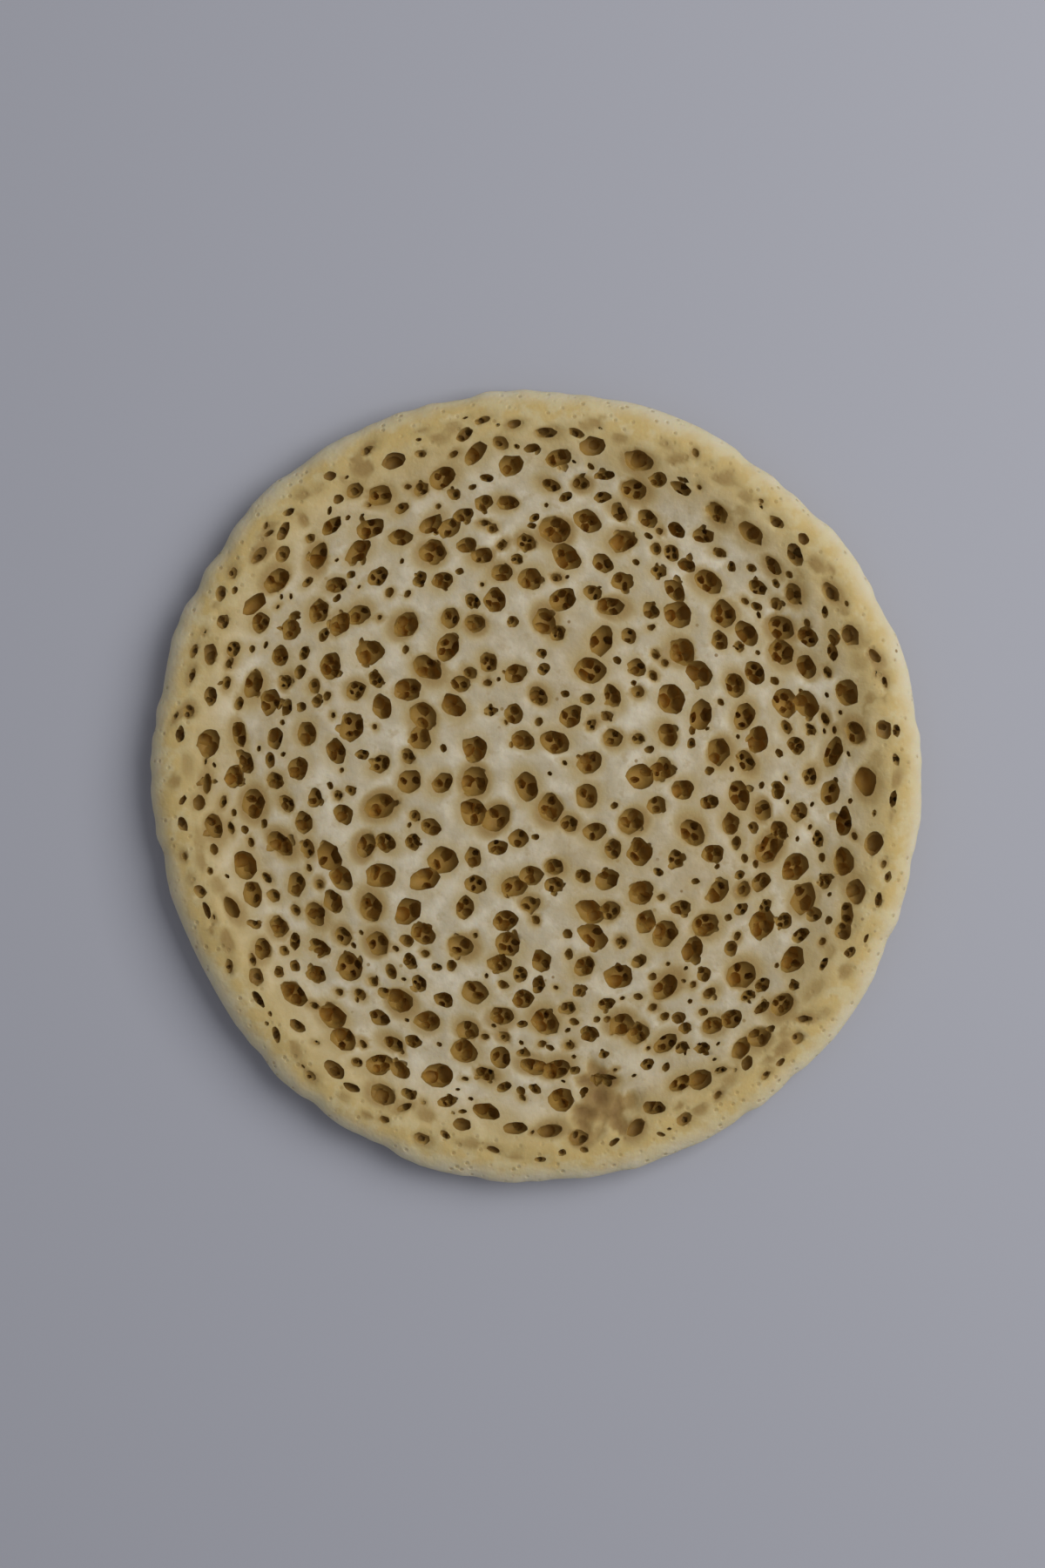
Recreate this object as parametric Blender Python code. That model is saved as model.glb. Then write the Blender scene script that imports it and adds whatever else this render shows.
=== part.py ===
"""A qatayef: one round yeast pancake, fried on one side only, with a rolled rim and a dished, pored top.

Metres, +Z up. The origin is in the middle of the flat foot, and +Y points to the pancake's far side.
"""

import math
import random

import bmesh
import bpy
from mathutils import Matrix, Vector, noise

MM = 0.001

# Driving sizes, in millimetres.
CRUMB_HEIGHT = 5.2  # top of the dished middle above the foot
CREST_HEIGHT = 7.2  # top of the rolled rim above the foot
NOSE_HEIGHT = 4.3  # where the rim reaches furthest out
CURL = 1.7  # how far the underside lifts off the table below the crest
CREST_WAVE = 0.35  # the crest rises and falls by this much round the rim
SWELL = 0.22  # soft rises and hollows of the top
FLOOR = 0.9  # browned bottom left under the deepest pore

# Places between the middle, 0, and the rim, 1.
DISH_END = 0.72  # the flat middle ends and the slope to the rim starts
FOOT_END = 0.74  # the flat foot ends and the curl starts
CREST = 0.915
PORES_END = 0.935

# The outline: an oval, with places where it stands out (+) or is flattened (-).
HALF_WIDTH = 52.4  # along X
HALF_LENGTH = 53.7  # along Y
FAR_LEFT_BULGE = (130.0, 32.0, 1.1)  # angle from +X, half of its spread in degrees, millimetres
NEAR_LEFT_FLAT = (208.0, 20.0, -1.5)
FAR_RIGHT_BULGE = (25.0, 28.0, 0.5)

# Pores, as they are scattered from the largest to the smallest.
PORE_COUNT = 740
PORE_SMALLEST, PORE_LARGEST = 0.42, 2.25  # half of the long axis
PORE_FALL = 1.40  # above 1, small pores outnumber large ones
RIM_SHRINK = 1.10  # the largest pore at the rim is this much smaller
SHRINK_START = 0.84
MIDDLE_CROWD = 0.22  # share of small pores kept in the middle, where large ones rule
JOINED = 0.32  # share that breaks into a neighbour or stands beside it
MIDDLE_FLAT = 0.22  # how much narrower than long a pore is in the middle
RIM_FLAT = 0.35  # and how much more so at the rim
PORE_SEED = 11
PITS = 125  # the largest pores that lie clear of each other are cut as pits

# A stretch near the near rim that stayed wet and fell in: it has no open pores.
PATCH_PLACE = (8.8, -42.4)
PATCH_HALF_SIZES = (4.0, 4.6)
PATCH_DEPTH = 0.6
PATCH_SIDES = 16

SIDES = 64  # points round each ring of the body
PIT_SIDES = 8


def smooth_step(low, high, value):
    share = min(1.0, max(0.0, (value - low) / (high - low)))
    return share * share * (3.0 - 2.0 * share)


def rim_reach(angle):
    """Distance from the middle to the rim at this angle, in radians from +X."""
    reach = 1.0 / math.hypot(math.cos(angle) / HALF_WIDTH, math.sin(angle) / HALF_LENGTH)
    for centre, spread, height in (FAR_LEFT_BULGE, NEAR_LEFT_FLAT, FAR_RIGHT_BULGE):
        off = (math.degrees(angle) - centre + 180.0) % 360.0 - 180.0
        reach += height * math.exp(-((off / spread) ** 2))
    return reach


def crest_wave(angle):
    return CREST_WAVE * (0.6 * math.sin(2 * angle + 0.8) + 0.4 * math.sin(5 * angle + 2.1))


def swell(x, y):
    return SWELL * noise.noise(Vector((x / 13.0, y / 13.0, 4.0)))


def top_height(x, y):
    """Height of the unbroken top skin over a point inside the crest."""
    angle = math.atan2(y, x)
    place = math.hypot(x, y) / rim_reach(angle)
    slope = smooth_step(DISH_END, CREST, place)
    return CRUMB_HEIGHT + swell(x, y) + slope * (CREST_HEIGHT - CRUMB_HEIGHT + crest_wave(angle))


def section():
    """Half of the pancake's section, as (place, height at the crest's mean, share of the crest's wave)."""
    points = []
    for place in (0.0, 0.14, 0.28, 0.42, 0.54, 0.64, 0.72, 0.78, 0.83, 0.875):
        slope = smooth_step(DISH_END, CREST, place)
        points.append((place, CRUMB_HEIGHT + slope * (CREST_HEIGHT - CRUMB_HEIGHT), slope))
    for step in range(5):  # the rim's rounded upper quarter, from the crest out to the nose
        turn = math.pi / 2 * step / 4
        height = NOSE_HEIGHT + (CREST_HEIGHT - NOSE_HEIGHT) * math.cos(turn)
        points.append((CREST + (1 - CREST) * math.sin(turn), height, math.cos(turn)))
    for step in range(1, 4):  # the lower quarter, from the nose back under the rim
        turn = math.pi / 2 * step / 3
        height = NOSE_HEIGHT - (NOSE_HEIGHT - CURL) * math.sin(turn)
        points.append((CREST + (1 - CREST) * math.cos(turn), height, 0.0))
    for place in (0.86, 0.80, FOOT_END):  # the underside's curl down to the flat foot
        points.append((place, CURL * smooth_step(FOOT_END, 0.94, place) * 0.94, 0.0))
    points.append((0.0, 0.0, 0.0))
    return points


def make_body():
    """The whole pancake with no pores: its section spun round Z, then drawn out to the uneven rim."""
    form = bmesh.new()
    layer = form.verts.layers.float.new("wave")
    outline = []
    for place, height, wave in section():
        outline.append(form.verts.new((place, 0.0, height)))
        outline[-1][layer] = wave
    edges = [form.edges.new(pair) for pair in zip(outline, outline[1:])]
    bmesh.ops.spin(
        form, geom=outline + edges, cent=(0, 0, 0), axis=(0, 0, 1),
        angle=math.tau, steps=SIDES, use_merge=True,
    )
    bmesh.ops.remove_doubles(form, verts=form.verts, dist=1e-4)
    for vert in form.verts:
        x, y, height = vert.co
        angle = math.atan2(y, x)
        reach = rim_reach(angle)
        on_top = smooth_step(CURL, NOSE_HEIGHT, height)
        lift = vert[layer] * crest_wave(angle) + on_top * swell(x * reach, y * reach)
        vert.co = (x * reach, y * reach, height + lift)
    bmesh.ops.recalc_face_normals(form, faces=form.faces)
    return form


def in_patch(x, y):
    across = (x - PATCH_PLACE[0]) / PATCH_HALF_SIZES[0]
    along = (y - PATCH_PLACE[1]) / PATCH_HALF_SIZES[1]
    return math.hypot(across, along) < 1.0


def scatter_pores():
    """Pores as (x, y, long half-axis, short half-axis, turn), from the largest to the smallest.

    Large ones keep to the middle and small ones crowd the slope to the rim. Most keep a wall
    between them, and a share breaks into a neighbour.
    """
    rng = random.Random(PORE_SEED)
    pores = []
    for number in range(PORE_COUNT):
        share = 1.0 - number / PORE_COUNT
        long_half = PORE_SMALLEST + (PORE_LARGEST - PORE_SMALLEST) * share**PORE_FALL
        joins = bool(pores) and rng.random() < JOINED
        for _ in range(120):
            if joins:
                other = rng.choice(pores)
                away = (other[2] + long_half) * rng.uniform(0.72, 1.12)
                bearing = rng.uniform(0.0, math.tau)
                x = other[0] + away * math.cos(bearing)
                y = other[1] + away * math.sin(bearing)
                angle = math.atan2(y, x)
                place = math.hypot(x, y) / rim_reach(angle)
            else:
                other = None
                angle = rng.uniform(-math.pi, math.pi)
                place = PORES_END * math.sqrt(rng.random())
                x = place * rim_reach(angle) * math.cos(angle)
                y = place * rim_reach(angle) * math.sin(angle)
            size_limit = PORE_LARGEST - RIM_SHRINK * smooth_step(SHRINK_START, PORES_END, place)
            crowded = MIDDLE_CROWD + (1.0 - MIDDLE_CROWD) * smooth_step(0.35, 0.80, place)
            keep = 1.0 if long_half > 1.3 else crowded
            if place > PORES_END or long_half > size_limit or rng.random() > keep or in_patch(x, y):
                continue
            wall = 0.15 + 0.20 * long_half
            if all(
                math.hypot(x - p[0], y - p[1]) > 0.93 * (long_half + p[2]) + wall
                for p in pores
                if p is not other
            ):
                flat = (MIDDLE_FLAT + RIM_FLAT * place**3) * rng.uniform(0.4, 1.25)
                along_rim = angle + math.pi / 2 + rng.gauss(0.0, 0.3)
                turn = along_rim if place > 0.5 else rng.uniform(0.0, math.pi)
                pores.append((x, y, long_half, long_half * (1.0 - flat), turn))
                break
    return pores


def pits_of(pores):
    """The largest pores that lie clear of each other."""
    chosen = []
    for pore in pores:
        x, y, long_half = pore[:3]
        if all(math.hypot(x - p[0], y - p[1]) > long_half + p[2] + 0.35 for p in chosen):
            chosen.append(pore)
        if len(chosen) == PITS:
            break
    return chosen


def make_pit_cutter(pores):
    """One egg-shaped bubble for each pit, hung from the top skin."""
    form = bmesh.new()
    for x, y, long_half, short_half, turn in pits_of(pores):
        skin = top_height(x, y)
        depth = min(skin - FLOOR, 0.9 + 1.35 * long_half)
        bubble = bmesh.ops.create_uvsphere(form, u_segments=PIT_SIDES, v_segments=4, radius=1.0)
        verts = bubble["verts"]
        bmesh.ops.scale(form, vec=(long_half, short_half, depth), verts=verts)
        bmesh.ops.rotate(form, cent=(0, 0, 0), matrix=Matrix.Rotation(turn, 3, "Z"), verts=verts)
        bmesh.ops.translate(form, vec=(x, y, skin), verts=verts)
    return form


def make_patch_cutter():
    """The shallow bowl of the sunken patch, tilted with the slope that the patch lies on."""
    form = bmesh.new()
    x, y = PATCH_PLACE
    across, along = PATCH_HALF_SIZES
    outward = Vector((x, y, 0.0)).normalized()
    rise = top_height(x + outward.x, y + outward.y) - top_height(x - outward.x, y - outward.y)
    sideways = Vector((-outward.y, outward.x, 0.0))
    tilt = Matrix.Rotation(math.atan(rise / 2), 3, -sideways)
    bowl = bmesh.ops.create_uvsphere(form, u_segments=PATCH_SIDES, v_segments=12, radius=1.0)
    verts = bowl["verts"]
    bmesh.ops.scale(form, vec=(across * 1.4, along * 1.4, 2 * PATCH_DEPTH), verts=verts)
    bmesh.ops.translate(form, vec=(0.0, 0.0, PATCH_DEPTH), verts=verts)
    bmesh.ops.rotate(form, cent=(0, 0, 0), matrix=tilt, verts=verts)
    bmesh.ops.translate(form, vec=(x, y, top_height(x, y)), verts=verts)
    return form


def object_from(form, name):
    """An object from a form in millimetres. The form is freed."""
    bmesh.ops.scale(form, vec=(MM, MM, MM), verts=form.verts)
    mesh = bpy.data.meshes.new(name)
    form.to_mesh(mesh)
    form.free()
    obj = bpy.data.objects.new(name, mesh)
    bpy.context.collection.objects.link(obj)
    return obj


def batter_finish():
    material = bpy.data.materials.new("pancake_crumb")
    material.use_nodes = True
    shader = material.node_tree.nodes["Principled BSDF"]
    shader.inputs["Base Color"].default_value = (0.62, 0.53, 0.33, 1.0)
    shader.inputs["Roughness"].default_value = 0.6
    shader.inputs["Metallic"].default_value = 0.0
    return material


def centre_on_foot(obj):
    """Shifts the mesh so that its box is centred over the origin."""
    xs = [v.co.x for v in obj.data.vertices]
    ys = [v.co.y for v in obj.data.vertices]
    middle = Vector(((min(xs) + max(xs)) / 2, (min(ys) + max(ys)) / 2, 0.0))
    for vert in obj.data.vertices:
        vert.co -= middle
    return middle


def main():
    for old in list(bpy.data.objects):
        bpy.data.objects.remove(old)
    pancake = object_from(make_body(), "qatayef")
    pancake.data.materials.append(batter_finish())
    pits = object_from(make_pit_cutter(scatter_pores()), "pit_cutter")
    patch = object_from(make_patch_cutter(), "patch_cutter")
    middle = centre_on_foot(pancake)
    for cutter in (pits, patch):
        for vert in cutter.data.vertices:
            vert.co -= middle
        cutter.hide_render = True
        cutter.display_type = "WIRE"
        cut = pancake.modifiers.new(cutter.name, "BOOLEAN")
        cut.operation = "DIFFERENCE"
        cut.solver = "EXACT"
        cut.object = cutter
    pancake.data.shade_smooth()
    pancake.data.set_sharp_from_angle(angle=math.radians(40))


main()
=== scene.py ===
import math
import random

import bmesh
import bpy
from mathutils import Matrix, Vector, bvhtree, kdtree, noise


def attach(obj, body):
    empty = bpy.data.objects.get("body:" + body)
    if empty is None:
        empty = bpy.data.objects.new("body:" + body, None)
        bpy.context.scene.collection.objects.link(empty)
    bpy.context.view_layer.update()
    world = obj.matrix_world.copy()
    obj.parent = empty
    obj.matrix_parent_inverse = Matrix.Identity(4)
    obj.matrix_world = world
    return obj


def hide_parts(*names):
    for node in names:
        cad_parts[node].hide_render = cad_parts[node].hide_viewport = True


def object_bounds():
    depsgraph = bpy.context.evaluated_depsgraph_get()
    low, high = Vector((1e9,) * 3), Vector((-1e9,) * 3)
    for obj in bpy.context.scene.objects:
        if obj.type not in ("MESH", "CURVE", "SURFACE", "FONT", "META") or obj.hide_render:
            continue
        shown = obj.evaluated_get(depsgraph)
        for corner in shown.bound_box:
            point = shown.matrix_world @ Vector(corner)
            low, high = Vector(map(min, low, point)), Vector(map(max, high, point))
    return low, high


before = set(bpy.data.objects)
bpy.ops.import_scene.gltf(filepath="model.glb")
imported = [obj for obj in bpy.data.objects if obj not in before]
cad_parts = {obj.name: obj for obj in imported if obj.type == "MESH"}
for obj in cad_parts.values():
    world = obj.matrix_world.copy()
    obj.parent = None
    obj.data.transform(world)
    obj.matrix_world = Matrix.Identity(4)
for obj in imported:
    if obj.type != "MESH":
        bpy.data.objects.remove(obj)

cadLow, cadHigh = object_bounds()


def smoothStep(low, high, value):
    share = min(1.0, max(0.0, (value - low) / (high - low)))
    return share * share * (3.0 - 2.0 * share)


def objectFrom(form, name):
    mesh = bpy.data.meshes.new(name)
    form.to_mesh(mesh)
    form.free()
    made = bpy.data.objects.new(name, mesh)
    bpy.context.collection.objects.link(made)
    return made


class Wire:
    # an output socket that can be reckoned with: each operator adds a Math node
    def __init__(self, finish, socket):
        self.finish = finish
        self.socket = socket

    def math(self, operation, first, second):
        return self.finish.node("ShaderNodeMath", {"operation": operation}, {0: first, 1: second})

    def __add__(self, other):
        return self.math("ADD", self, other)

    def __radd__(self, other):
        return self.math("ADD", other, self)

    def __sub__(self, other):
        return self.math("SUBTRACT", self, other)

    def __rsub__(self, other):
        return self.math("SUBTRACT", other, self)

    def __mul__(self, other):
        return self.math("MULTIPLY", self, other)

    def __rmul__(self, other):
        return self.math("MULTIPLY", other, self)


class Finish:
    def __init__(self, name):
        self.material = bpy.data.materials.new(name)
        self.material.use_nodes = True
        self.tree = self.material.node_tree
        self.shader = self.tree.nodes["Principled BSDF"]

    def node(self, kind, settings, sockets, output=0):
        made = self.tree.nodes.new(kind)
        for key, value in settings.items():
            setattr(made, key, value)
        for key, value in sockets.items():
            self.fill(made.inputs[key], value)
        return Wire(self, made.outputs[output])

    def fill(self, socket, value):
        if isinstance(value, Wire):
            self.tree.links.new(value.socket, socket)
        else:
            socket.default_value = value

    def mix(self, factor, first, second):
        return self.node("ShaderNodeMix", {"data_type": "RGBA"}, {0: factor, 6: first, 7: second}, 2)

    def step(self, value, low, high):
        settings = {"interpolation_type": "SMOOTHSTEP"}
        return self.node("ShaderNodeMapRange", settings, {"Value": value, 1: low, 2: high, 3: 0.0, 4: 1.0})

    def noise(self, place, scale, detail=3.0):
        settings = {"noise_dimensions": "3D"}
        return self.node("ShaderNodeTexNoise", settings, {"Vector": place, "Scale": scale, "Detail": detail})

    def attribute(self, name):
        return self.node("ShaderNodeAttribute", {"attribute_name": name}, {}, 2)

    def set(self, **values):
        for key, value in values.items():
            self.fill(self.shader.inputs[key.replace("_", " ")], value)


# the pancake's form, in millimetres until it is finished
pancake = {
    "crumbHeight": 5.2,  # top of the dished middle
    "crestHeight": 7.2,  # top of the rolled rim
    "noseHeight": 4.3,  # where the rim reaches furthest out
    "curl": 1.7,  # how far the underside lifts below the crest
    "crestWave": 0.35,  # the crest rises and falls by this much
    "swell": 0.22,  # soft rises and hollows of the top
    "swellSize": 13.0,
    "floor": 0.9,  # browned bottom left under the deepest pore
    "dishEnd": 0.72,  # these places run from 0 in the middle to 1 at the rim
    "footEnd": 0.74,
    "curlEnd": 0.94,
    "crest": 0.915,
    "poresEnd": 0.935,
    "rings": 84,  # ring n of the top has 6n points, so that they lie evenly
    "upperSteps": 9,  # steps from the crest out to the nose
    "lowerSteps": 5,  # and from there back under the rim
    "sliver": 0.095,  # edges left by the cut that are shorter than this are closed up
    "dip": 0.28,  # the skin sinks this far round a mouth
    "halfWidth": 52.4,  # the outline is an oval
    "halfLength": 53.7,
    # where it stands out (+) or is flattened (-): angle, half of the spread in degrees, millimetres
    "farLeftBulge": (130.0, 32.0, 1.1),
    "nearLeftFlat": (208.0, 20.0, -1.5),
    "farRightBulge": (25.0, 28.0, 0.5),
    # soft unevenness of the rim: how close its waves lie, where in the noise, millimetres
    "crinkles": ((3.0, 2.0, 0.6), (8.0, 6.0, 0.60), (19.0, 9.0, 0.32)),
    "crinkleIn": -0.28,  # how far the rim is pulled in before the waves are added
    "crinkleStart": 0.90,  # the rim is even from this place inwards
}


def rimReach(angle):
    across = math.cos(angle) / pancake["halfWidth"]
    along = math.sin(angle) / pancake["halfLength"]
    reach = 1.0 / math.hypot(across, along)
    bulges = (pancake["farLeftBulge"], pancake["nearLeftFlat"], pancake["farRightBulge"])
    for centre, spread, height in bulges:
        off = (math.degrees(angle) - centre + 180.0) % 360.0 - 180.0
        reach += height * math.exp(-((off / spread) ** 2))
    return reach


def crestWave(angle):
    return pancake["crestWave"] * (0.6 * math.sin(2 * angle + 0.8) + 0.4 * math.sin(5 * angle + 2.1))


def swell(x, y):
    size = pancake["swellSize"]
    return pancake["swell"] * noise.noise(Vector((x / size, y / size, 4.0)))


def rimCrinkle(angle):
    # it only ever pulls the rim in
    crinkle = pancake["crinkleIn"]
    for close, level, height in pancake["crinkles"]:
        crinkle += height * noise.noise(Vector((math.cos(angle) * close, math.sin(angle) * close, level)))
    return min(0.0, crinkle)


def placeOf(x, y):
    return math.hypot(x, y) / rimReach(math.atan2(y, x))


def topHeight(x, y):
    # height of the unbroken skin, with no dips round the mouths
    crest, place = pancake["crest"], placeOf(x, y)
    slope = smoothStep(pancake["dishEnd"], crest, place)
    rise = pancake["crestHeight"] - pancake["crumbHeight"] + crestWave(math.atan2(y, x))
    past = min(1.0, max(0.0, (place - crest) / (1 - crest)))
    fall = (pancake["crestHeight"] - pancake["noseHeight"]) * (1 - math.sqrt(1 - past * past))
    return pancake["crumbHeight"] + swell(x, y) + slope * rise - fall


def bottomHeight(x, y):
    crest, nose, curl, place = pancake["crest"], pancake["noseHeight"], pancake["curl"], placeOf(x, y)
    past = min(1.0, max(0.0, (place - crest) / (1 - crest)))
    lift = curl * smoothStep(pancake["footEnd"], pancake["curlEnd"], place)
    return lift + (nose - curl) * (1 - math.sqrt(1 - past * past))


def section():
    # half of the pancake's section: place, height, share of the crest's wave, points in that ring
    crest, nose, curl, most = pancake["crest"], pancake["noseHeight"], pancake["curl"], 6 * pancake["rings"]
    lift = pancake["crestHeight"] - pancake["crumbHeight"]
    upper, lower = pancake["upperSteps"], pancake["lowerSteps"]
    points = []
    for ring in range(pancake["rings"] + 1):
        place = crest * ring / pancake["rings"]
        slope = smoothStep(pancake["dishEnd"], crest, place)
        points.append((place, pancake["crumbHeight"] + slope * lift, slope, max(1, 6 * ring)))
    for step in range(1, upper + 1):
        turn = math.pi / 2 * step / upper
        height = nose + (pancake["crestHeight"] - nose) * math.cos(turn)
        points.append((crest + (1 - crest) * math.sin(turn), height, math.cos(turn), most))
    for step in range(1, lower + 1):
        turn = math.pi / 2 * step / lower
        height = nose - (nose - curl) * math.sin(turn)
        points.append((crest + (1 - crest) * math.cos(turn), height, 0.0, most // 2))
    for place in (0.86, 0.80, pancake["footEnd"]):  # down to the flat foot
        height = curl * smoothStep(pancake["footEnd"], pancake["curlEnd"], place) * 0.94
        points.append((place, height, 0.0, most // 4))
    return points + [(0.4, 0.0, 0.0, most // 8), (0.0, 0.0, 0.0, 1)]


def zipRings(body, former, latter):
    # joins two rings that may differ in their number of points
    turns = [len(ring) if len(ring) > 1 else 0 for ring in (former, latter)]
    at = [0, 0]
    while at != turns:
        corner, facing = former[at[0] % len(former)], latter[at[1] % len(latter)]
        behind = (at[1] + 1) * turns[0] <= (at[0] + 1) * turns[1]
        if at[1] < turns[1] and (at[0] == turns[0] or behind):
            at[1] += 1
            body.faces.new((corner, facing, latter[at[1] % len(latter)]))
        else:
            at[0] += 1
            body.faces.new((corner, facing, former[at[0] % len(former)]))


def makeBody(stains):
    # ring by ring, because a spin gives every ring as many points and crowds the middle
    body = bmesh.new()
    rings = []
    for place, height, wave, count in section():
        onTop = smoothStep(pancake["curl"], pancake["noseHeight"], height)
        ring = []
        for number in range(count):
            angle = math.tau * number / count
            crinkle = rimCrinkle(angle) * smoothStep(pancake["crinkleStart"], 1.0, place)
            reach = place * (rimReach(angle) + crinkle)
            x, y = reach * math.cos(angle), reach * math.sin(angle)
            lift = wave * crestWave(angle)
            if onTop > 0.0:
                lift += onTop * (swell(x, y) - stains.at(x, y)[1])
            ring.append(body.verts.new((x, y, height + lift)))
        rings.append(ring)
    for former, latter in zip(rings, rings[1:]):
        zipRings(body, former, latter)
    return body


# where the pores lie and how they open, from the largest to the smallest
poreRules = {
    "count": 740,
    "smallest": 0.42,  # half of the long axis
    "largest": 2.25,
    "fall": 1.40,  # above 1, small pores outnumber large ones
    "rimShrink": 1.10,  # the largest pore at the rim is this much smaller
    "shrinkStart": 0.84,
    "middleCrowd": 0.22,  # share of small pores kept in the middle, where large ones rule
    "joined": 0.32,  # share that breaks into a neighbour or stands beside it
    "joinedGap": (0.72, 1.12),  # how far apart the two then lie, in sums of their long halves
    "closest": 0.93,  # how near any other two may come, in the same sums, and the wall between
    "wallLeast": 0.15,
    "wallShare": 0.20,
    "middleFlat": 0.22,  # how much narrower than long a pore is in the middle
    "rimFlat": 0.35,  # and how much more so at the rim
    "flatSpread": (0.4, 1.25),
    "seed": 11,
    "dressSeed": 8,
    "tries": 120,  # for a free place, after which a pore is left out
    "crowdSize": 1.3,  # pores with a longer half than this are never thinned out
    "crowdStart": 0.35,
    "crowdEnd": 0.80,
    "slopeStart": 0.85,  # pores further out are never ragged, and the skin still covers some
    "tornSize": 0.8,
    "torn": 0.47,  # share with a ragged mouth, of the pores above that size
    "coveredSize": 1.6,
    "covered": 0.32,  # share that the skin covers, of the outer pores below that size
}

sunkenPatch = {
    "place": (8.8, -42.4),  # a stretch near the near rim that stayed wet and fell in
    "halfSizes": (4.0, 4.6),
    "dip": 0.45,
    "stain": 1.1,
    "seed": 3,
    "openings": 6,
    "openingWidths": (0.6, 1.2),
    "hollows": 26,
    "hollowSizes": (0.6, 1.8),
    "hollowDips": (0.45, 1.05),
    "hollowStains": (0.8, 1.6),  # above 1 the crumb is soaked
}


def inPatch(x, y):
    (px, py), (across, along) = sunkenPatch["place"], sunkenPatch["halfSizes"]
    return math.hypot((x - px) / across, (y - py) / along) < 1.0


def scatterPores():
    rules = poreRules
    rng = random.Random(rules["seed"])
    smallest, largest, poresEnd = rules["smallest"], rules["largest"], pancake["poresEnd"]
    middleCrowd = rules["middleCrowd"]
    pores = []
    for number in range(rules["count"]):
        share = 1.0 - number / rules["count"]
        longHalf = smallest + (largest - smallest) * share ** rules["fall"]
        joins = bool(pores) and rng.random() < rules["joined"]
        for _ in range(rules["tries"]):
            if joins:
                other = rng.choice(pores)
                away = (other[2] + longHalf) * rng.uniform(*rules["joinedGap"])
                bearing = rng.uniform(0.0, math.tau)
                x = other[0] + away * math.cos(bearing)
                y = other[1] + away * math.sin(bearing)
                angle = math.atan2(y, x)
                place = math.hypot(x, y) / rimReach(angle)
            else:
                other = None
                angle = rng.uniform(-math.pi, math.pi)
                place = poresEnd * math.sqrt(rng.random())
                x = place * rimReach(angle) * math.cos(angle)
                y = place * rimReach(angle) * math.sin(angle)
            shrink = rules["rimShrink"] * smoothStep(rules["shrinkStart"], poresEnd, place)
            sizeLimit = largest - shrink
            outward = smoothStep(rules["crowdStart"], rules["crowdEnd"], place)
            crowded = middleCrowd + (1.0 - middleCrowd) * outward
            keep = 1.0 if longHalf > rules["crowdSize"] else crowded
            if place > poresEnd or longHalf > sizeLimit or rng.random() > keep or inPatch(x, y):
                continue
            wall = rules["wallLeast"] + rules["wallShare"] * longHalf
            if all(
                math.hypot(x - p[0], y - p[1]) > rules["closest"] * (longHalf + p[2]) + wall
                for p in pores
                if p is not other
            ):
                flat = rules["middleFlat"] + rules["rimFlat"] * place**3
                flat *= rng.uniform(*rules["flatSpread"])
                alongRim = angle + math.pi / 2 + rng.gauss(0.0, 0.3)
                turn = alongRim if place > 0.5 else rng.uniform(0.0, math.pi)
                pores.append((x, y, longHalf, longHalf * (1.0 - flat), turn))
                break
    return pores


def dressPores(pores):
    # how each pore opens, how far it stains the skin round it and darkens it with painted shade, and how far
    # it sinks it
    rules = poreRules
    rng = random.Random(rules["dressSeed"])
    dressed = []
    for x, y, longHalf, shortHalf, turn in pores:
        onSlope = placeOf(x, y) > rules["slopeStart"]
        covered = onSlope and longHalf < rules["coveredSize"] and rng.random() < rules["covered"]
        stain = rng.uniform(0.35, 1.0)
        dressed.append({
            "place": (x, y),
            "longHalf": longHalf,
            "shortHalf": shortHalf,
            "turn": turn,
            "covered": covered,
            "inner": 0.65 if covered else 0.95,  # share of the pore that is stained and shaded in full
            "torn": not onSlope and longHalf > rules["tornSize"] and rng.random() < rules["torn"],
            "stain": 0.6 + 0.4 * stain if covered else stain,
            "dip": pancake["dip"] * (0.5 if covered else stain),
            "softSide": rng.uniform(0.0, math.tau),
        })
    return dressed + patchHollows()


stainedSpots = (  # stretches where the skin is browner: place, half sizes, strength
    ((12.5, 44.0), (4.0, 2.6), 0.65),
    ((44.5, 15.0), (2.4, 6.0), 0.55),
    ((45.5, -8.0), (2.0, 5.0), 0.45),
    ((-16.0, 44.0), (5.0, 2.0), 0.35),
    ((14.0, -36.0), (7.0, 3.0), 0.30),
)


def coveredHollow(place, halfSizes, turn, stain, dip, softSide):
    # a hollow with the skin unbroken over it, shown by a dip and by painted shade, or a browner stretch
    return {
        "place": place,
        "longHalf": halfSizes[0],
        "shortHalf": halfSizes[1],
        "turn": turn,
        "covered": True,
        "inner": 0.35,
        "stain": stain,
        "dip": dip,
        "softSide": softSide,
    }


def patchHollows():
    rng = random.Random(sunkenPatch["seed"])
    (x, y), (across, along) = sunkenPatch["place"], sunkenPatch["halfSizes"]
    hollows = []
    for _ in range(sunkenPatch["hollows"]):
        bearing, out = rng.uniform(0.0, math.tau), math.sqrt(rng.random())
        place = (x + out * across * math.cos(bearing), y + out * along * math.sin(bearing))
        half = rng.uniform(*sunkenPatch["hollowSizes"])
        halfSizes = (half, half * rng.uniform(0.5, 0.9))
        turn, softSide = rng.uniform(0.0, math.pi), rng.uniform(0.0, math.tau)
        dip = rng.uniform(*sunkenPatch["hollowDips"])
        stain = rng.uniform(*sunkenPatch["hollowStains"])
        hollows.append(coveredHollow(place, halfSizes, turn, stain, dip, softSide))
    return hollows


stainRules = {
    "search": 4.4,  # pores whose middle is further off than this leave no mark
    "furthest": 4.0,  # nor does one further off than this many of its own half sizes
    "leastReach": 0.30,  # how far the stain and painted shade of even a tiny pore reach
    "reachShare": 0.70,  # how much further a larger one does
    "broadSize": 2.2,  # above this half size the stain is alike on every side
}


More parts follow.
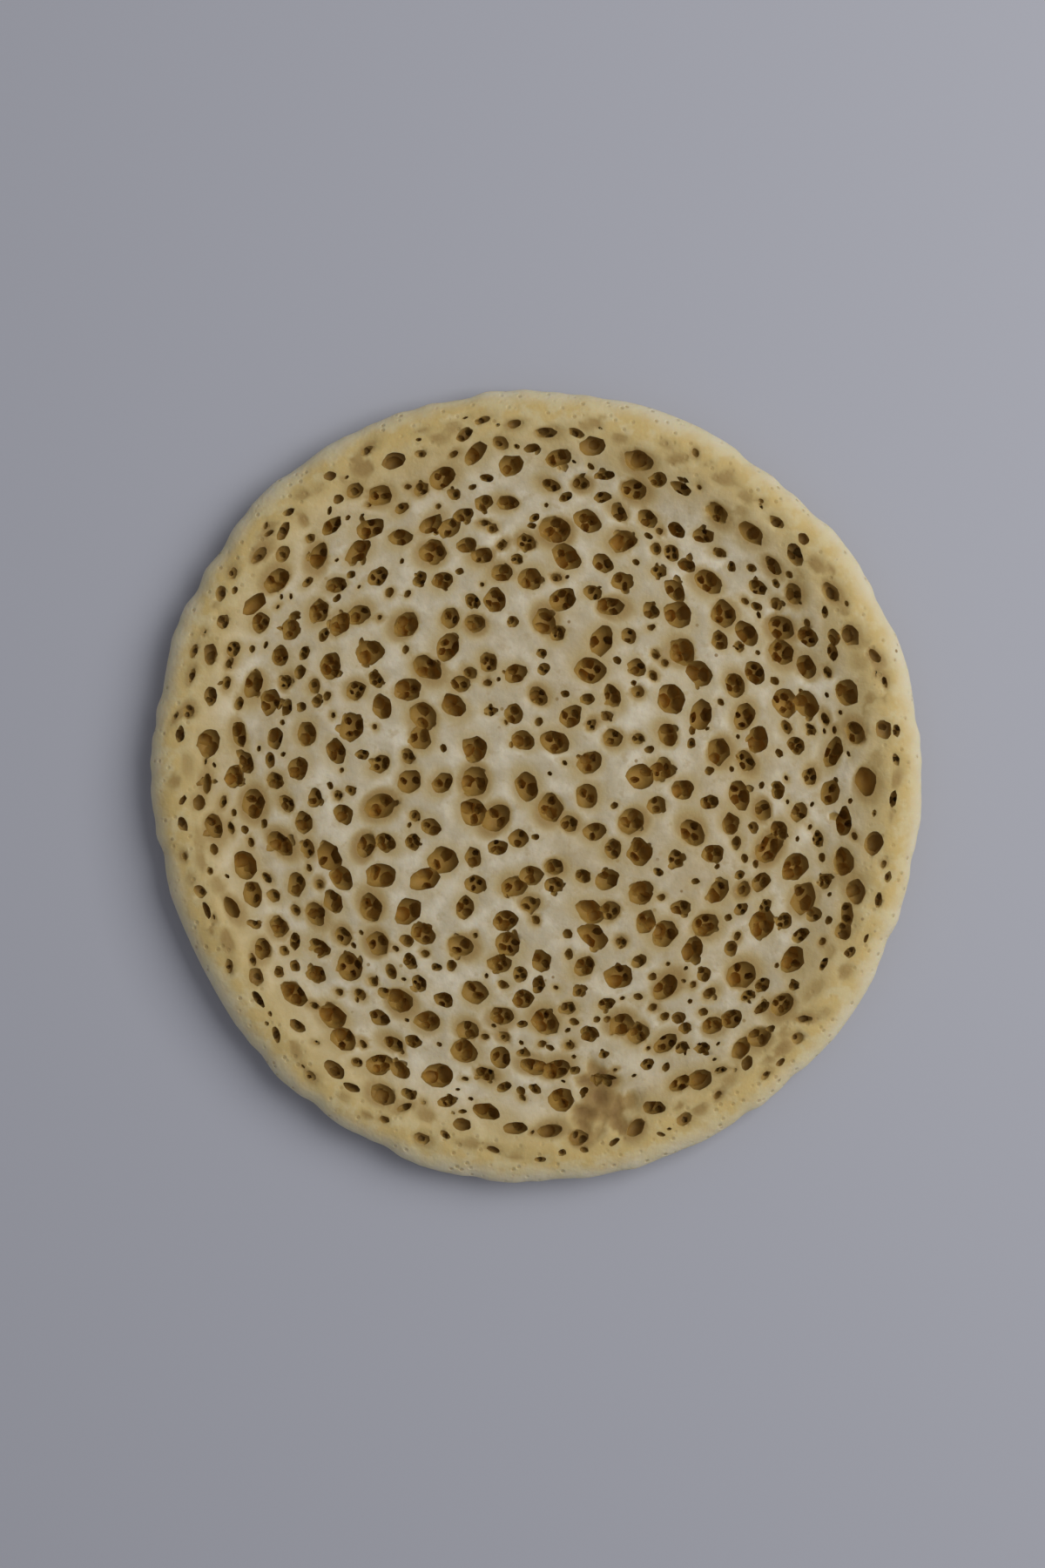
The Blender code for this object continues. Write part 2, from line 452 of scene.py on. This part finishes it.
class StainsAndShade:
    # how brown the skin is, partly stain and partly painted shade, and how far it sinks, from the pores
    # nearby
    def __init__(self, pores):
        self.pores = pores
        self.tree = kdtree.KDTree(len(pores))
        for number, pore in enumerate(pores):
            self.tree.insert((*pore["place"], 0.0), number)
        self.tree.balance()
        self.broad = []
        for place, halfSizes, stain in stainedSpots:
            self.broad.append(coveredHollow(place, halfSizes, 0.0, stain, 0.0, 0.0))
        place, halfSizes = sunkenPatch["place"], sunkenPatch["halfSizes"]
        stain, dip = sunkenPatch["stain"], sunkenPatch["dip"]
        self.broad.append(coveredHollow(place, halfSizes, 0.0, stain, dip, 0.0))

    def at(self, x, y):
        stain, dip = 0.0, 0.0
        found = self.tree.find_range((x, y, 0.0), stainRules["search"])
        near = [self.pores[number] for _, number, _ in found]
        for pore in near + self.broad:
            dx, dy = x - pore["place"][0], y - pore["place"][1]
            cos, sin = math.cos(pore["turn"]), math.sin(pore["turn"])
            along, across = dx * cos + dy * sin, dy * cos - dx * sin
            spread = math.hypot(along / pore["longHalf"], across / pore["shortHalf"])
            if spread > stainRules["furthest"]:
                continue
            gap = max(0.0, spread - pore["inner"]) * pore["shortHalf"]
            facing = 0.5 + 0.5 * math.cos(math.atan2(dy, dx) - pore["softSide"])
            sided = 0.6 if pore["longHalf"] > stainRules["broadSize"] else facing
            reach = stainRules["leastReach"] + stainRules["reachShare"] * pore["longHalf"] * sided
            share = math.exp(-((gap / reach) ** 2))
            stain = max(stain, share * pore["stain"])
            dip = max(dip, share * pore["dip"])
        return stain, dip


class Bubbles:
    # sorts the bubbles into layers, so that no two in one layer touch
    def __init__(self, seed):
        self.layers = []
        self.rng = random.Random(seed)

    def layerFor(self, x, y, reach):
        for layer in self.layers:
            if all(math.hypot(x - far[0], y - far[1]) > reach + far[2] for far in layer["taken"]):
                break
        else:
            layer = {"form": bmesh.new(), "taken": []}
            self.layers.append(layer)
        layer["taken"].append((x, y, reach))
        return layer["form"]

    def blow(self, centre, size, turn, lean, rough, detail=2):
        rng = self.rng
        one = bmesh.new()
        bmesh.ops.create_icosphere(one, subdivisions=detail, radius=1.0)
        away = Vector((rng.uniform(-50, 50), rng.uniform(-50, 50), rng.uniform(-50, 50)))
        for vert in one.verts:
            vert.co *= 1.0 + rough * noise.noise(vert.co * 1.5 + away)
        bmesh.ops.scale(one, vec=size, verts=one.verts)
        tilt = Matrix.Rotation(turn, 3, "Z") @ Matrix.Rotation(lean, 3, "Y")
        bmesh.ops.rotate(one, cent=(0, 0, 0), matrix=tilt, verts=one.verts)
        reach = max(math.hypot(vert.co.x, vert.co.y) for vert in one.verts) + 0.02
        bmesh.ops.translate(one, vec=centre, verts=one.verts)
        mesh = bpy.data.meshes.new("bubble")
        one.to_mesh(mesh)
        one.free()
        self.layerFor(centre[0], centre[1], reach).from_mesh(mesh)
        bpy.data.meshes.remove(mesh)


def around(x, y, out, bearing, z):
    return (x + out * math.cos(bearing), y + out * math.sin(bearing), z)


bubbleRules = {
    "seed": 5,
    "leastDepth": 0.60,
    "depthShare": 1.45,  # how much deeper a longer pore is
    "shallower": 0.28,  # pores at the rim are shallower by this share
    "shallowStart": 0.80,
    "fewCells": 0.84,  # from this place out, pores have fewer cells
    "roughMouth": 0.29,
    "roughCell": 0.45,
    "cellWidths": (0.62, 0.54, 0.47, 0.41),  # share of the pore, for 1 to 4 cells
    "chipLimit": 0.8,  # half of the widest chip
}


def cellChoices(longHalf, place):
    # how many deeper cells a pore may have in its floor, the likelier numbers more than once
    if place > bubbleRules["fewCells"]:
        return (0, 1, 1, 2) if longHalf > 0.8 else (0, 0, 1)
    if longHalf < 0.75:
        return (0,)
    return (1, 1, 2) if longHalf < 1.15 else (2, 2, 3, 3, 4)


def blowPores(pores):
    rules = bubbleRules
    bubbles = Bubbles(rules["seed"])
    rng = bubbles.rng
    for pore in pores:
        if pore["covered"]:
            continue
        x, y = pore["place"]
        longHalf, shortHalf, turn = pore["longHalf"], pore["shortHalf"], pore["turn"]
        skin, place = topHeight(x, y), placeOf(x, y)
        shallow = 1.0 - rules["shallower"] * smoothStep(rules["shallowStart"], pancake["poresEnd"], place)
        deepest = min(skin - pancake["floor"], rules["leastDepth"] + rules["depthShare"] * longHalf) * shallow
        cells = rng.choice(cellChoices(longHalf, place))
        cavity = min(deepest * 0.64, 0.45 + 0.85 * longHalf) if cells else deepest * 0.92
        detail = 2 if longHalf > 0.55 else 1
        size = (longHalf * 1.02, shortHalf * 1.02, cavity * 0.75)
        lean = rng.uniform(-0.1, 0.1)
        bubbles.blow((x, y, skin - 0.25 * cavity), size, turn, lean, rules["roughMouth"], detail)
        if pore["torn"]:
            tearMouth(bubbles, pore, skin)
        start = rng.uniform(0.0, math.tau)
        for cell in range(cells):  # deeper cells in its floor, with soft ridges between
            bearing = start + math.tau * cell / cells + rng.uniform(-0.4, 0.4)
            out = longHalf * (rng.uniform(0.36, 0.54) if cells > 1 else rng.uniform(0.05, 0.35))
            wide = longHalf * rules["cellWidths"][cells - 1] * rng.uniform(0.65, 1.2)
            tall = (deepest - cavity * 0.50) * 0.60
            spot = around(x, y, out, bearing, skin - deepest + tall)
            size = (wide, wide * rng.uniform(0.65, 1.0), tall)
            bubbles.blow(spot, size, rng.uniform(0.0, math.pi), 0.0, rules["roughCell"])
    breakPatch(bubbles)
    return [layer["form"] for layer in bubbles.layers]


def tearMouth(bubbles, pore, skin):
    # angular chips out of the thin film over a pore
    rng = bubbles.rng
    x, y = pore["place"]
    longHalf = pore["longHalf"]
    for _ in range(rng.choice((1, 2, 3))):
        chip = min(bubbleRules["chipLimit"], longHalf * rng.uniform(0.36, 0.60))
        spot = around(x, y, longHalf * rng.uniform(0.55, 0.82), rng.uniform(0.0, math.tau), skin - 0.25)
        size = (chip, chip * rng.uniform(0.5, 1.0), 0.8)
        bubbles.blow(spot, size, rng.uniform(0.0, math.pi), 0.0, 0.65, 1)


def breakPatch(bubbles):
    # ragged openings along the inner edge of the sunken patch
    rng = bubbles.rng
    (x, y), (across, along) = sunkenPatch["place"], sunkenPatch["halfSizes"]
    for _ in range(sunkenPatch["openings"]):
        bearing, out = rng.uniform(0.15, 0.95) * math.pi, rng.uniform(0.55, 1.0)
        px, py = x + out * across * math.cos(bearing), y + out * along * math.sin(bearing)
        wide = rng.uniform(*sunkenPatch["openingWidths"])
        spot = (px, py, topHeight(px, py) - 1.1)
        size = (wide, wide * rng.uniform(0.5, 0.9), 1.2)
        bubbles.blow(spot, size, rng.uniform(0.0, math.pi), 0.0, 0.6, 2)


def cutPores(body, cutters):
    for cutter in cutters:
        cut = body.modifiers.new("pores", "BOOLEAN")
        cut.operation = "DIFFERENCE"
        cut.solver = "MANIFOLD"
        cut.object = cutter
    depsgraph = bpy.context.evaluated_depsgraph_get()
    mesh = bpy.data.meshes.new_from_object(body.evaluated_get(depsgraph))
    body.modifiers.clear()
    body.data = mesh
    for cutter in cutters:
        bpy.data.objects.remove(cutter)


def largestPart(mesh):
    # keeps the pancake itself and drops any loose crumb that the cut left behind
    whole = bmesh.new()
    whole.from_mesh(mesh)
    unseen = set(whole.verts)
    parts = []
    while unseen:
        part = []
        queue = [unseen.pop()]
        while queue:
            vert = queue.pop()
            part.append(vert)
            for edge in vert.link_edges:
                near = edge.other_vert(vert)
                if near in unseen:
                    unseen.discard(near)
                    queue.append(near)
        parts.append(part)
    parts.sort(key=len)
    for part in parts[:-1]:
        bmesh.ops.delete(whole, geom=part, context="VERTS")
    bmesh.ops.triangulate(whole, faces=whole.faces)
    whole.to_mesh(mesh)
    whole.free()
    print("pancake: loose parts dropped", len(parts) - 1)


def closePinches(mesh):
    # where two walls touch along a tiny edge, that edge is closed up to a point
    whole = bmesh.new()
    whole.from_mesh(mesh)
    print("pancake: triangles from the cut", len(whole.faces))
    for _ in range(8):
        pinched = [e for e in whole.edges if len(e.link_faces) != 2 or e.calc_length() < pancake["sliver"]]
        if not pinched:
            break
        bmesh.ops.collapse(whole, edges=pinched)
    unclosed = sum(1 for edge in whole.edges if len(edge.link_faces) != 2)
    print("pancake: triangles", len(whole.faces), "edges not closed", unclosed)
    whole.to_mesh(mesh)
    whole.free()


def markSkin(mesh, skin, stains):
    # how far each point lies under the uncut skin, how near the rim it is, and how much stain and painted
    # shade the skin gets round the mouths
    marks = {"depth": [], "rim": [], "haloStainAndShade": []}
    for vert in mesh.vertices:
        x, y, z = vert.co
        place = placeOf(x, y)
        onTop = z > pancake["noseHeight"] or (place < pancake["crest"] and z > bottomHeight(x, y) + 0.3)
        over = skin.ray_cast((x, y, 50.0), (0.0, 0.0, -1.0))[0] if onTop else None
        marks["depth"].append(max(0.0, over.z - z) if over else 0.0)
        marks["rim"].append(place)
        marks["haloStainAndShade"].append(stains.at(x, y)[0] if onTop else 0.0)
    for name, values in marks.items():
        mesh.attributes.new(name, "FLOAT", "POINT").data.foreach_set("value", values)


def fitToFrame(mesh, low, high):
    # millimetres to metres, centred in the frame's box and never outside it
    xs, ys, zs = ([vert.co[axis] for vert in mesh.vertices] for axis in range(3))
    middle = Vector(((min(xs) + max(xs)) / 2, (min(ys) + max(ys)) / 2, min(zs)))
    spans = (max(xs) - min(xs), max(ys) - min(ys), max(zs) - min(zs))
    scale = [min(0.001, (high[axis] - low[axis]) / spans[axis]) for axis in range(3)]
    target = Vector(((low[0] + high[0]) / 2, (low[1] + high[1]) / 2, low[2]))
    for vert in mesh.vertices:
        moved = vert.co - middle
        vert.co = target + Vector([moved[axis] * scale[axis] for axis in range(3)])


crumbLooks = {
    "skin": (0.550, 0.464, 0.302, 1.0),
    "skinPale": (0.720, 0.640, 0.470, 1.0),
    "skinTan": (0.47, 0.36, 0.19, 1.0),
    "rim": (0.615, 0.445, 0.158, 1.0),
    "rimOuter": (0.70, 0.625, 0.435, 1.0),  # the outer side of the rim is paler
    "rimPale": (0.68, 0.590, 0.345, 1.0),
    "haloStainAndShade": (0.50, 0.370, 0.145, 1.0),  # stained skin round a mouth, with painted shade of its sloping dish
    "darkStainAndShade": (0.365, 0.232, 0.072, 1.0),
    "pinholeShade": (0.26, 0.155, 0.050, 1.0),  # painted shade of pinholes too small to be cut
    "soaked": (0.225, 0.122, 0.032, 1.0),
    # pore colours by depth: partly the crumb's browner tone, partly painted shade in the hollow
    "poreLip": (0.41, 0.270, 0.080, 1.0),
    "poreWallBrownAndShade": (0.345, 0.203, 0.042, 1.0),
    "poreFloorBrownAndLight": (0.50, 0.278, 0.050, 1.0),
    "rimPoreShade": (0.235, 0.130, 0.034, 1.0),  # painted shade: rim pores are shallow and well lit, so their walls are painted darker to look shaded
    "sideTan": (0.60, 0.440, 0.205, 1.0),
    "underside": (0.42, 0.22, 0.07, 1.0),
    "roughness": 0.66,
    "subsurface": 0.28,
    # how close the patterns lie
    "mottleScale": 260.0,
    "speckScale": 700.0,
    "stainScale": 60.0,
    "prickScale": 310.0,
    "prickPatches": 150.0,
    "blotchScale": 480.0,
    "fineGrain": 1500.0,
    "coarseGrain": 330.0,
    "dentScale": 650.0,
    "bumpStrength": 0.7,
    "bumpDistance": 0.00028,
    "sharpAngle": 60.0,  # edges sharper than this are left unsmoothed
}


def crumbFinish():
    looks = crumbLooks
    finish = Finish("pancakeCrumb")
    place = finish.node("ShaderNodeTexCoord", {}, {}, 3)
    depth = finish.attribute("depth")
    rim = finish.attribute("rim")
    mottle = finish.noise(place, looks["mottleScale"], 5.0)
    specks = finish.step(finish.noise(place, looks["speckScale"]), 0.58, 0.72)
    stains = finish.step(finish.noise(place, looks["stainScale"], 2.0), 0.50, 0.72)
    skin = finish.mix(finish.step(mottle, 0.38, 0.66), looks["skin"], looks["skinPale"])
    skin = finish.mix(specks * 0.50, skin, looks["skinTan"])
    skin = finish.mix(stains * 0.35, skin, looks["poreLip"])
    skin = finish.mix(finish.step(rim + mottle * 0.06, 0.79, 0.96) * 0.92, skin, looks["rim"])
    skin = finish.mix(finish.step(rim + mottle * 0.05, 0.965, 1.025), skin, looks["rimOuter"])
    onRim = finish.step(rim, 0.82, 0.93)
    pricks = finish.node("ShaderNodeTexVoronoi", {}, {"Vector": place, "Scale": looks["prickScale"]})
    someCells = finish.step(finish.noise(place, looks["prickPatches"], 2.0), 0.49, 0.53)
    # painted shade: pinholes too small to be cut are painted as dark dots
    skin = finish.mix((1 - finish.step(pricks, 0.055, 0.095)) * someCells * 0.85, skin, looks["pinholeShade"])
    blotch = finish.step(finish.noise(place, looks["blotchScale"], 4.0), 0.44, 0.64)
    skin = finish.mix(blotch * onRim * 0.55, skin, looks["rimPale"])
    haloStainAndShade = finish.attribute("haloStainAndShade")
    # stain and painted shade round the mouths and over the covered hollows; the soaked patch is real wet
    # crumb
    skin = finish.mix(finish.step(haloStainAndShade, 0.0, 0.85) * 0.80, skin, looks["haloStainAndShade"])
    skin = finish.mix(finish.step(haloStainAndShade + mottle * 0.4, 0.70, 1.25) * 0.9, skin, looks["darkStainAndShade"])
    skin = finish.mix(finish.step(haloStainAndShade, 0.80, 1.60) * 0.9, skin, looks["soaked"])
    # darker with depth into a pore: partly the crumb's own tone, partly painted shade
    lip = finish.mix(finish.step(depth, 0.05, 0.30), skin, looks["poreLip"])
    wall = finish.mix(finish.step(depth, 0.15, 0.90), lip, looks["poreWallBrownAndShade"])
    # painted light: the deep floors are painted lighter to offset the shadow that falls in them
    colour = finish.mix(finish.step(depth, 1.4, 2.8), wall, looks["poreFloorBrownAndLight"])
    # painted shade in the shallow, well-lit pores at the rim
    colour = finish.mix(onRim * finish.step(depth, 0.3, 1.0) * 0.7, colour, looks["rimPoreShade"])
    height = finish.node("ShaderNodeSeparateXYZ", {}, {0: place}, 2)
    notInPore = 1 - finish.step(depth, 0.02, 0.1)
    browned = (1 - finish.step(height + mottle * 0.0012, 0.0016, 0.0046)) * notInPore
    colour = finish.mix(browned * 0.75, colour, looks["sideTan"])
    under = (1 - finish.step(height + mottle * 0.0010, 0.0006, 0.0026)) * notInPore
    colour = finish.mix(under, colour, looks["underside"])
    grain = finish.noise(place, looks["fineGrain"]) * 0.5 + finish.noise(place, looks["coarseGrain"])
    dents = finish.node("ShaderNodeTexVoronoi", {}, {"Vector": place, "Scale": looks["dentScale"]})
    grain = grain + finish.step(dents, 0.10, 0.26) * onRim * 0.5
    sockets = {"Strength": looks["bumpStrength"], "Distance": looks["bumpDistance"], "Height": grain}
    bump = finish.node("ShaderNodeBump", {}, sockets)
    # painted shade in the small dents of the rim
    colour = finish.mix((1 - finish.step(dents, 0.06, 0.17)) * onRim * 0.6, colour, looks["darkStainAndShade"])
    finish.set(Base_Color=colour, Roughness=looks["roughness"], Normal=bump)
    finish.set(Subsurface_Weight=looks["subsurface"], Subsurface_Scale=0.001)
    finish.set(Subsurface_Radius=(1.0, 0.6, 0.3), Specular_IOR_Level=0.28)
    return finish.material


def makePancake():
    pores = dressPores(scatterPores())
    stains = StainsAndShade(pores)
    uncut = makeBody(stains)
    skin = bvhtree.BVHTree.FromBMesh(uncut)
    body = objectFrom(uncut, "pancake")
    print("pancake: body made, triangles", len(body.data.polygons))
    cutters = [objectFrom(layer, "poreCutter") for layer in blowPores(pores)]
    print("pancake: pores", len(pores), "layers", len(cutters))
    cutPores(body, cutters)
    largestPart(body.data)
    closePinches(body.data)
    markSkin(body.data, skin, stains)
    fitToFrame(body.data, cadLow, cadHigh)
    body.data.shade_smooth()
    body.data.set_sharp_from_angle(angle=math.radians(crumbLooks["sharpAngle"]))
    body.data.materials.clear()
    body.data.materials.append(crumbFinish())
    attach(body, "root")
    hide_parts("qatayef")


studio = {
    "floor": (0.46, 0.465, 0.51, 1.0),
    "floorSize": 12.0,
    "keyPlace": (0.36, 0.13, 0.46),
    "keySize": 0.45,
    "keyPower": 2.48,
    "fill": (0.88, 0.90, 1.0, 1.0),
    "fillStrength": 0.26,
    "lens": 60.0,
    "sensor": 36.0,  # along the picture's long side
    "pictureSpan": 1.9715,  # the picture's height, in lengths of the pancake
    "aside": (-0.0170, 0.0027),  # where the camera stands, in lengths from the pancake's middle
}


def makeFloor():
    plane = bmesh.new()
    bmesh.ops.create_grid(plane, x_segments=1, y_segments=1, size=studio["floorSize"] / 2)
    floor = objectFrom(plane, "floor")
    finish = Finish("paleFloor")
    finish.set(Base_Color=studio["floor"], Roughness=0.7, Specular_IOR_Level=0.2)
    floor.data.materials.append(finish.material)
    print("floor: done")


def makeLights():
    lamp = bpy.data.lights.new("windowLight", "AREA")
    lamp.size = studio["keySize"]
    lamp.energy = studio["keyPower"]
    key = bpy.data.objects.new("windowLight", lamp)
    key.location = studio["keyPlace"]
    key.rotation_euler = (-Vector(studio["keyPlace"])).to_track_quat("-Z", "Y").to_euler()
    bpy.context.collection.objects.link(key)
    world = bpy.data.worlds.new("softRoom")
    world.use_nodes = True
    room = world.node_tree.nodes["Background"]
    room.inputs["Color"].default_value = studio["fill"]
    room.inputs["Strength"].default_value = studio["fillStrength"]
    bpy.context.scene.world = world
    bpy.context.scene.view_settings.view_transform = "Standard"
    print("lights: done")


def makeCamera():
    lens = bpy.data.cameras.new("overhead")
    lens.lens = studio["lens"]
    lens.sensor_width = studio["sensor"]
    length = cadHigh[1] - cadLow[1]
    rimLevel = cadLow[2] + pancake["noseHeight"] / pancake["crestHeight"] * (cadHigh[2] - cadLow[2])
    away = studio["pictureSpan"] * length * studio["lens"] / studio["sensor"]
    x = (cadLow[0] + cadHigh[0]) / 2 + studio["aside"][0] * length
    y = (cadLow[1] + cadHigh[1]) / 2 + studio["aside"][1] * length
    camera = bpy.data.objects.new("overhead", lens)
    camera.location = (x, y, rimLevel + away)
    bpy.context.collection.objects.link(camera)
    bpy.context.scene.camera = camera
    print("camera: done")


makePancake()
makeFloor()
makeLights()
makeCamera()
